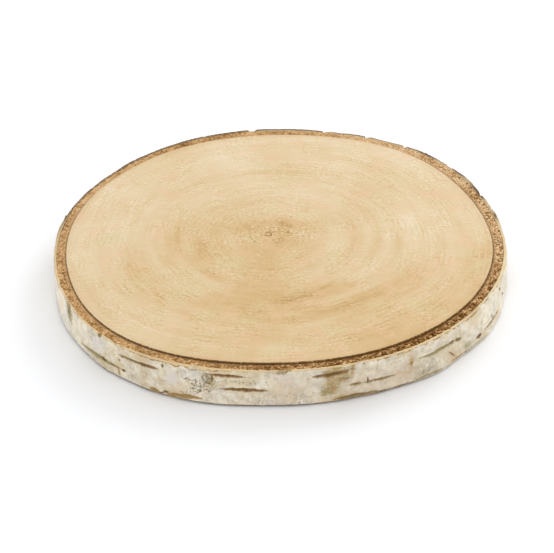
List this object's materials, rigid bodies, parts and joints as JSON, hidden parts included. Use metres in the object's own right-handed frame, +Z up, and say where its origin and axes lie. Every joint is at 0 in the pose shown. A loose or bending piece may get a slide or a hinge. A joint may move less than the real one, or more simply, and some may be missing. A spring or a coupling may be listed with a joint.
{
  "type": "birch wood slice",
  "caption": "Round slice sawn across a birch stem, with its bark on: a flat wooden disc to stand things on or decorate.",
  "frame": {"origin": "middle of the outline's box, on the lower sawn face, where the slice rests", "axes": "+Z up along the stem, out of the upper sawn face; +Y along the longer way across the slice"},
  "size_m": [0.2251, 0.2309, 0.02],
  "materials": {
    "birch_wood": "sawn and sanded, bare",
    "inner_bark": "sawn, rough and granular",
    "paper_bark": "natural, papery and matt"
  },
  "bodies": {
    "root": {"birch_slice": "birch_wood"}
  },
  "joints": []
}
